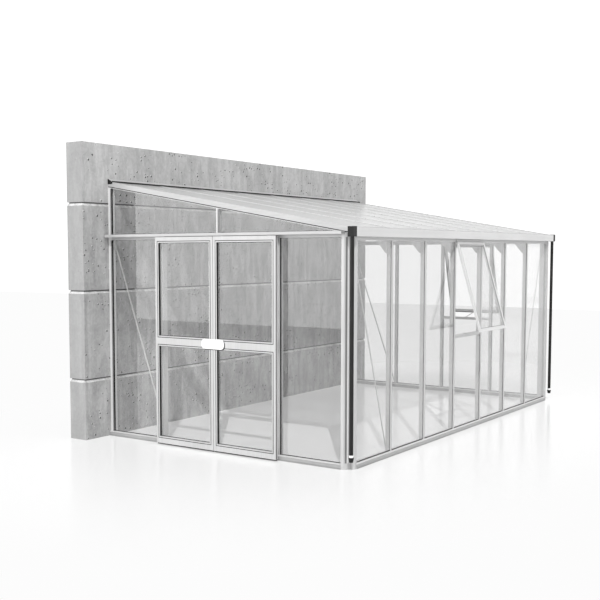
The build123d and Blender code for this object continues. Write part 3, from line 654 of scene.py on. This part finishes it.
shadow_deep, plate_corner, shadow_shift = 0.002, 0.040, 0.008
plate_screw, screw_in, screw_up = (0.0045, 0.003, 12), 0.03, 0.025
for side, turn in (("left", 1), ("right", -1)):
    plate_low, plate_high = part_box("door_handle_" + side)
    long, tall = plate_high.y - plate_low.y, plate_high.z - plate_low.z
    plate_y, plate_z = (plate_low.y + plate_high.y) / 2, (plate_low.z + plate_high.z) / 2
    # This dark plate is a painted shadow of the handle half, showing below and beside it.
    shadow_plate = bar("shadow_plate", long, tall, shadow_deep, 0.0)
    points = shadow_plate.data.vertices
    pick(shadow_plate, "EDGE", lambda edge: points[edge.vertices[0]].co.xy == points[
        edge.vertices[1]].co.xy and turn * points[edge.vertices[0]].co.x < -long / 4)
    bpy.ops.mesh.bevel(offset=plate_corner, segments=8)
    bpy.ops.object.mode_set(mode="OBJECT")
    shadow_plate = set_out(shadow_plate, f"handle_{side}_painted_shadow", [
        seat((plate_high.x, plate_y - shadow_shift, plate_z - shadow_shift), leftwards)])
    fit(shadow_plate, dark, "door_" + side)
    heads = set_out(screw("head", *plate_screw), f"handle_{side}_screws", [
        seat((plate_low.x, plate_y - turn * screw_in, z), leftwards)
        for z in (plate_low.z + screw_up, plate_high.z - screw_up)])
    fit(heads, white, "door_" + side)
left_low, right_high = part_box("door_handle_left")[0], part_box("door_handle_right")[1]
between = left_low.y - right_high.y
joint_snug, joint_short, joint_thin, joint_edge = 0.0006, 0.004, 0.001, 0.001
joint_size = (between - joint_snug, right_high.z - left_low.z - joint_short,
              right_high.x - left_low.x - joint_thin)
fit(lay("handle_joint", joint_size, joint_edge, seat(
    (right_high.x, right_high.y + between / 2 + snug, (left_low.z + right_high.z) / 2),
    leftwards)), white, "door_left")

# Verge seals: a black strip pressed into the groove along each outer rafter.
# It keeps the driving rain out from under the sheets' edges.
rafter_low, rafter_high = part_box("rafters")
slope_up = Vector((0, cos(roof_pitch), sin(roof_pitch)))
roof_up = Vector((0, -sin(roof_pitch), cos(roof_pitch)))
run = wall_face - rafter_low.y
verge_lift, verge_tall, verge_deep = 0.0082, 0.0076, 0.006
verge_edge, verge_proud, verge_short = 0.0015, 0.0006, 0.004
half_way = Vector((0, rafter_low.y + run / 2, under_roof(rafter_low.y + run / 2)))
lift = roof_up * ((verge_lift + verge_tall / 2) * cos(roof_pitch))
verge_size = (run / cos(roof_pitch) - verge_short, verge_tall * cos(roof_pitch), verge_deep)
strips = []
for x, outward in ((rafter_low.x, -1), (rafter_high.x, 1)):
    up_slope = Matrix((slope_up, roof_up, (1, 0, 0))).transposed().to_4x4()
    up_slope.translation = (half_way + lift + Vector(
        (x - verge_deep / 2 - outward * (verge_deep / 2 + verge_proud), 0, 0)))
    strips.append(lay("strip", verge_size, verge_edge, up_slope))
fit(join("verge_seals", strips), dark)

# Roof cap strips: each is held down by stainless screws every 300 mm.
# The heads are shallow, with a washer face that beds on the cap.
roof_low, roof_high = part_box("roof_bars")


def roof_top(y):
    """Height of the caps' top face."""
    return roof_high.z - (wall_face - y) * tan(roof_pitch)


steel, place = new_finish("stainless_steel")
swirl = place.noise(220, 2)
surface(place, {"Base Color": swirl.blend(grey(0.42), grey(0.55)), "Metallic": 0.9,
                "Roughness": 0.24 + 0.12 * swirl})
cap_screw = (0.0055, 0.004, 12)
first_screw, screw_pitch, screws_a_bar = 0.12, 0.3, 10
screws = set_out(screw("head", *cap_screw), "roof_cap_screws", [
    seat((x, y, roof_top(y)), roof_up) for x in bars_across
    for y in [roof_low.y + first_screw + screw_pitch * i for i in range(screws_a_bar)]])
fit(screws, steel)

# Eave trims: a light channel closes the open cells at the lower end of each sheet.
# It is an extrusion pushed on from the front, one to a bay.
sheet_low, sheet_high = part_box("roof_panes")
sheet_edges = [sheet_low.x] + bars_across + [sheet_high.x]
sheet_tall, trim_over, trim_deep, trim_edge = 0.016, 0.002, 0.0025, 0.0008
roof_cap_half = 0.021
strips = []
for low, high in zip(sheet_edges, sheet_edges[1:]):
    low += 0.0 if low == sheet_low.x else roof_cap_half
    high -= 0.0 if high == sheet_high.x else roof_cap_half
    strips.append(lay("strip", (high - low, sheet_tall + trim_over, trim_deep), trim_edge, seat(
        ((low + high) / 2, sheet_low.y, sheet_low.z + sheet_tall / 2), forwards)))
fit(join("eave_trims", strips), long_metal)

# Ridge ends: a dark moulded stopper closes each open end of the ridge profile.
# It is pushed in from the side, and its top follows the profile's slope.
ridge_low, ridge_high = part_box("ridge_profile")
stopper_deep, stopper_edge, level_top, ridge_fall = 0.004, 0.001, 0.004, radians(29)
past_front, past_foot = 0.004, 0.019
wide = ridge_high.y - ridge_low.y + past_front
tall = ridge_high.z - ridge_low.z + past_foot
stoppers = []
for x, outward in ((ridge_low.x, leftwards), (ridge_high.x, rightwards)):
    stopper = bar("stopper", wide, tall, stopper_deep, 0.0)
    bpy.ops.object.mode_set(mode="EDIT")
    bpy.ops.mesh.select_all(action="SELECT")
    wall_side = outward[0]
    bpy.ops.mesh.bisect(plane_co=(wall_side * (wide / 2 - level_top), tall / 2, 0),
                        plane_no=(-wall_side * sin(ridge_fall), cos(ridge_fall), 0),
                        use_fill=True, clear_outer=True)
    bpy.ops.mesh.select_all(action="SELECT")
    bpy.ops.mesh.normals_make_consistent(inside=False)
    bpy.ops.object.mode_set(mode="OBJECT")
    soften(stopper, stopper_edge)
    stoppers.append(set_out(stopper, "stopper", [
        seat((x, ridge_high.y - wide / 2, ridge_high.z - tall / 2), outward)]))
fit(join("ridge_stoppers", stoppers), dark)

# Gusset and brace bolts: stainless hexagon heads through the plates into the bars.
# Two hold each gusset to the upright and two to the roof bar; one holds each brace end.
gusset_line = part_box("gussets")[0].y
plate_half, bolt_in, bolt_steps = 0.002, 0.012, (0.150, 0.075)
gusset_bolt, brace_bolt = (0.0065, 0.005, 6), (0.006, 0.005, 6)
on_upright = [(bolt_in, under_roof(gusset_line) - step) for step in bolt_steps]
on_roof_bar = [(step, under_roof(gusset_line + step) - bolt_in) for step in bolt_steps[::-1]]
places = [seat((x + side * plate_half, gusset_line + y, z), outward) for x in bars_across
          for side, outward in ((1, rightwards), (-1, leftwards))
          for y, z in on_upright + on_roof_bar]
fit(set_out(screw("head", *gusset_bolt), "gusset_bolts", places), steel)
inner_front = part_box("eave_beam")[1].y
inner_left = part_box("door_posts")[1].x
inner_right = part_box("right_gable_bars")[0].x
brace_deep, head_drop, foot_z = 0.004, 0.004, sill_top + 0.024
from_corner, from_wall, from_bar = 0.024, 0.018, 0.002
places = []
for x_top, x_foot in ((corner_edges[0] + from_corner, bars_across[0]),
                      (corner_edges[1] - from_corner, bars_across[-1])):
    for x, z in ((x_top, beam_foot - head_drop), (x_foot, foot_z)):
        places.append(seat((x, inner_front + brace_deep, z), (0, 1, 0)))
for x, outward, top in ((inner_left + brace_deep, rightwards, lintel_foot),
                        (inner_right - brace_deep, leftwards, beam_foot)):
    for y, z in ((wall_post_edge + from_wall, top - head_drop),
                 (gable_bars[-1] - from_bar, foot_z)):
        places.append(seat((x, y, z), outward))
fit(set_out(screw("head", *brace_bolt), "brace_bolts", places), steel)

# Vent hinges and seals: a full-width extruded profile on the beam, with a knuckle along its
# lower edge that the sash's top rail turns in. Black rubber closes the joint under it,
# beds the sash's pane and lines its inner edge.
vent_tilt = radians(16.2)
sash_long, sash_deep, sash_border = 1.018, 0.022, 0.040
hinge_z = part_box("vent_sash_front")[1].z - sash_deep * sin(vent_tilt)
hinge_tall, hinge_deep, hinge_lift, hinge_edge = 0.026, 0.009, 0.010, 0.0007
panel_in, panel_down = 0.005, -0.002
knuckle_radius, knuckle_out, knuckle_up, knuckle_edge = 0.005, 0.006, 0.011, 0.001
knuckle_short, closing_short, closing_thick, closing_edge = 0.02, 0.004, 0.004, 0.001
bead_wide, bead_deep, bead_lap, bead_set, bead_edge = 0.003, 0.0015, 0.002, 0.006, 0.0005
rim_wide, rim_deep, rim_out, rim_long = 0.004, 0.002, 0.0119, 0.0238
inner_wide, inner_deep, inner_in, inner_edge = 0.006, 0.003, 0.010, 0.001
vents = (("front", Vector(((bars_across[2] + bars_across[3]) / 2, front_line, hinge_z)),
          forwards),
         ("right", Vector((far_line, (gable_bars[0] + gable_bars[1]) / 2, hinge_z)),
          rightwards))
for name, hinge, outward in vents:
    outward = Vector(outward)
    profile = bar("profile", bay, hinge_tall, hinge_deep, 0.0)
    pick(profile, "FACE", lambda face: face.normal.z > 0.5)
    bpy.ops.mesh.inset(thickness=panel_in)
    bpy.ops.mesh.extrude_region_move(TRANSFORM_OT_translate={"value": (0, 0, panel_down)})
    bpy.ops.object.mode_set(mode="OBJECT")
    soften(profile, hinge_edge)
    profile = set_out(profile, "profile", [
        seat(hinge + Vector((0, 0, hinge_lift + hinge_tall / 2)), outward)])
    bpy.ops.object.select_all(action="DESELECT")
    bpy.ops.mesh.primitive_cylinder_add(vertices=16, radius=knuckle_radius,
                                        depth=bay - knuckle_short)
    knuckle = bpy.context.object
    soften(knuckle, knuckle_edge)
    knuckle = set_out(knuckle, "knuckle", [
        seat(hinge + outward * knuckle_out + Vector((0, 0, knuckle_up)), outward)
        @ Matrix.Rotation(radians(90), 4, "Y")])
    fit(join(f"vent_hinge_{name}", [profile, knuckle]), long_metal)
    opened = (outward * cos(vent_tilt) + Vector((0, 0, sin(vent_tilt)))).normalized()
    down = (outward * sin(vent_tilt) - Vector((0, 0, cos(vent_tilt)))).normalized()
    side_way = Vector((0, 0, 1)).cross(opened).normalized()
    middle = hinge + down * (sash_long / 2)
    on_pane = middle + opened * (sash_deep - bead_set)
    clear_across, clear_up = bay - 2 * sash_border, sash_long - 2 * sash_border
    rim_half = clear_across / 2 + rim_out
    closing = lay("closing", (bay - closing_short, closing_thick, closing_thick), closing_edge,
                  seat(hinge + Vector((0, 0, closing_thick)), outward))
    bead = set_out(ring("bead", clear_across + bead_lap, clear_up + bead_lap, bead_wide,
                        bead_deep, bead_edge), "bead", [seat(on_pane, opened)])
    rim_sides = lay("rim_sides", (rim_wide, clear_up + rim_long, rim_deep), bead_edge, *[
        seat(on_pane + side_way * turn * (rim_half - rim_wide / 2), opened)
        for turn in (-1, 1)])
    rim_head = lay("rim_head", (2 * (rim_half - rim_wide), rim_wide, rim_deep), bead_edge,
                   seat(on_pane - down * (clear_up / 2 + rim_out - rim_wide / 2), opened))
    inner = set_out(ring("inner", bay - inner_in, sash_long - inner_in, inner_wide,
                         inner_deep, inner_edge), "inner",
                    [seat(middle - opened * inner_deep, opened)])
    fit(join(f"vent_seals_{name}", [closing, bead, rim_sides, rim_head, inner]), dark)

# Studio: a plain pale floor that fades into a white backdrop.
# The floor keeps the greenhouse's shadow and a faint sheen.
# Eyes, gloss and glass see the backdrop white; everything else gets a plain even light.
floor_left, floor_right, floor_deep, floor_drop = -40.0, end_face + 26.4, 60.0, 0.0005
bpy.ops.object.select_all(action="DESELECT")
bpy.ops.mesh.primitive_plane_add(size=1, location=((floor_left + floor_right) / 2, 0,
                                                   -floor_drop))
floor = bpy.context.object
floor.name = "floor"
floor.scale = (floor_right - floor_left, 2 * floor_deep, 1)
bpy.ops.object.transform_apply(location=True, rotation=True, scale=True)
shadow_long, shadow_wide = 2.9, 1.75
fade_from, fade_full, least_light = 0.8, 2.3, 0.08
mirror_from, mirror_full = 16.0, 30.0
pale, place = new_finish("pale_floor")
distance = place.node("VectorMath", {"operation": "LENGTH"}, {0: place}, "Value")
ground = place.node("BsdfPrincipled", None, {
    "Base Color": grey(0.93), "Roughness": 0.16, "Specular IOR Level": 0.25})
light = place.node("Emission", None, {"Color": grey(1.0), "Strength": 0.975})
seen = place.node("LightPath", None, None, "Is Camera Ray")
mirrored = place.node("LightPath", None, None, "Is Glossy Ray")
through = place.node("LightPath", None, None, "Is Transmission Ray")
under = place.node("Mapping", None, {
    "Vector": place, "Scale": (1 / shadow_long, 1 / shadow_wide, 1)})
around = place.node("VectorMath", {"operation": "LENGTH"}, {0: under}, "Value")
near_fade = (around.step(fade_from, fade_full, least_light, 1.0)
             * place.sum("MAXIMUM", seen, through))
far_fade = distance.step(mirror_from, mirror_full) * mirrored
stage = place.node("MixShader", None, {
    "Fac": place.sum("MAXIMUM", near_fade, far_fade), 1: ground, 2: light})
place.node("OutputMaterial", None, {"Surface": stage})
floor.data.materials.append(pale)

world = bpy.data.worlds.new("studio")
bpy.context.scene.world = world
world.use_nodes = True
world.node_tree.nodes.clear()
sky = Shade(world.node_tree, None)
paths = [sky.node("LightPath", None, None, path)
         for path in ("Is Camera Ray", "Is Glossy Ray", "Is Transmission Ray")]
backdrop = sky.sum("MAXIMUM", sky.sum("MAXIMUM", paths[0], paths[1]), paths[2])
even = sky.node("Background", None, {"Color": grey(1.0), "Strength": 0.39})
bright = sky.node("Background", None, {"Color": grey(1.0), "Strength": 1.13})
sky.node("OutputWorld", None, {"Surface": sky.node("MixShader", None, {
    "Fac": backdrop, 1: even, 2: bright})})

# Lamps: one long soft screen stands to the left, facing the door gable, and one hangs
# over the front. A weak sun from the left lays the frame's sharp shadows on the floor
# and the wall.
screen_wide, screen_tall, screen_foot, screen_away, screen_back = 22.0, 8.0, 0.28, 11.1, 2.0
screen_y, screen_z = wall_face + screen_back, screen_foot + screen_tall / 2
for name, at, size, tall, power, aim in (
        ("left_screen", (end_face - screen_away, screen_y, screen_z),
         screen_wide, screen_tall, 950, (0, screen_y, screen_z)),
        ("front_screen", (3, -13, 7), 10, 6, 460, (0, 0, 1.2))):
    lamp = bpy.data.lights.new(name, "AREA")
    lamp.shape = "RECTANGLE"
    lamp.size = size
    lamp.size_y = tall
    lamp.energy = power
    hung = bpy.data.objects.new(name, lamp)
    bpy.context.collection.objects.link(hung)
    hung.location = at
    hung.rotation_euler = (Vector(aim) - Vector(at)).to_track_quat("-Z", "Y").to_euler()
    hung.visible_camera = False

sun_way = Vector((0.835, 0.576, -1))
sun = bpy.data.objects.new("key_lamp", bpy.data.lights.new("key_lamp", "SUN"))
sun.data.energy = 2.0
sun.data.angle = radians(0.5)
bpy.context.collection.objects.link(sun)
sun.rotation_euler = sun_way.to_track_quat("-Z", "Y").to_euler()

# Camera: at eye height off the near corner, a little below the roof's top.
# It is placed from the door gable's sill and the wall, and looks along the long front.
camera_out, camera_front, camera_height = 7.5598, 7.4503, 1.9973
yaw, pitch, roll = radians(35.675 - 90), radians(90 - 4.3537), radians(-0.1165)
camera = bpy.data.objects.new("camera", bpy.data.cameras.new("camera"))
bpy.context.collection.objects.link(camera)
camera.location = (end_face - camera_out, wall_face - camera_front, camera_height)
camera.rotation_euler = (Matrix.Rotation(yaw, 4, "Z") @ Matrix.Rotation(pitch, 4, "X")
                         @ Matrix.Rotation(roll, 4, "Z")).to_euler()
camera.data.lens = 57.77
camera.data.shift_x = 0.0688
camera.data.shift_y = 0.0440
camera.data.clip_end = 200
bpy.context.scene.camera = camera
bpy.context.scene.view_settings.view_transform = "Standard"
